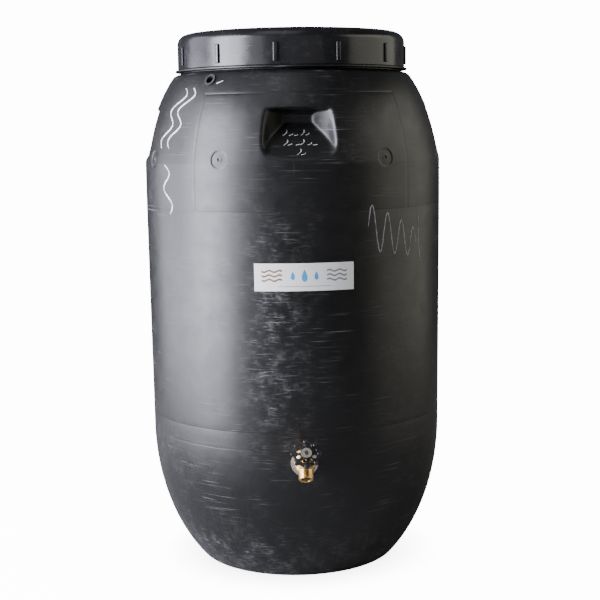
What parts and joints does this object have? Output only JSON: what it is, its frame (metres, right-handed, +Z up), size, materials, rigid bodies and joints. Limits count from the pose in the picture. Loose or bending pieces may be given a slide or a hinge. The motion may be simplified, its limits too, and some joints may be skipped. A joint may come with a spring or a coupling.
{
  "type": "rain barrel",
  "caption": "Tall rounded plastic drum with hand recesses, screw lid with screened inlet, overflow grommet and an angled brass hose spigot.",
  "frame": {"origin": "centre of the flat base, on the surface that the barrel stands on", "axes": "+Z up along the barrel's axis, -Y towards the side with the spigot and the label"},
  "size_m": [0.58, 0.6681, 1.036],
  "materials": {
    "black_hdpe": "satin, scuffed",
    "gloss_black_lid": "glossy",
    "label_vinyl": "satin print",
    "black_rubber": "matte",
    "grey_rubber": "matte foam",
    "steel_mesh": "woven wire",
    "steel": "bright zinc",
    "brass": "rough cast and turned",
    "packing_fibre": "graphited fibre",
    "black_enamel": "gloss enamel"
  },
  "bodies": {
    "barrel": {"barrel_body": "black_hdpe", "overflow_grommet": "black_rubber", "label": "label_vinyl", "outer_washer": "steel", "outer_seal": "black_rubber", "inner_seal": "black_rubber", "inner_washer": "steel", "lock_nut": "brass", "spigot_body": "brass", "spigot_bonnet": "brass", "stem_packing": "packing_fibre", "packing_nut": "brass"},
    "lid_seal": {"lid_gasket": "grey_rubber"},
    "lid": {"lid": "gloss_black_lid", "inlet_screen": "steel_mesh", "screen_ring": "gloss_black_lid", "screen_screws": "steel"},
    "valve_disc": {"seat_washer": "black_rubber"},
    "valve_handle": {"spigot_stem": "brass", "seat_washer_screw": "brass", "handwheel": "black_enamel", "handwheel_plate": "steel", "handwheel_screw": "steel"}
  },
  "joints": [
    {"name": "lid_lift", "type": "slide", "parent": "barrel", "child": "lid_seal", "axis": [0, 0, 1], "range_m": [0, 0.0351]},
    {"name": "lid_turn", "type": "hinge", "parent": "lid_seal", "child": "lid", "pos_m": [0, 0, 1], "axis": [0, 0, 1], "range_deg": [0, 900]},
    {"name": "valve_lift", "type": "slide", "parent": "barrel", "child": "valve_disc", "axis": [0, -0.766, 0.6428], "range_m": [0, 0.00751]},
    {"name": "handle_turn", "type": "hinge", "parent": "valve_disc", "child": "valve_handle", "pos_m": [0, -0.318, 0.251], "axis": [0, -0.766, 0.6428], "range_deg": [0, 1080]}
  ],
  "couplings": [
    {"joint": "lid_lift", "follows": "lid_turn", "m_per_rad": 0.0022282},
    {"joint": "valve_lift", "follows": "handle_turn", "m_per_rad": 0.00039789}
  ]
}
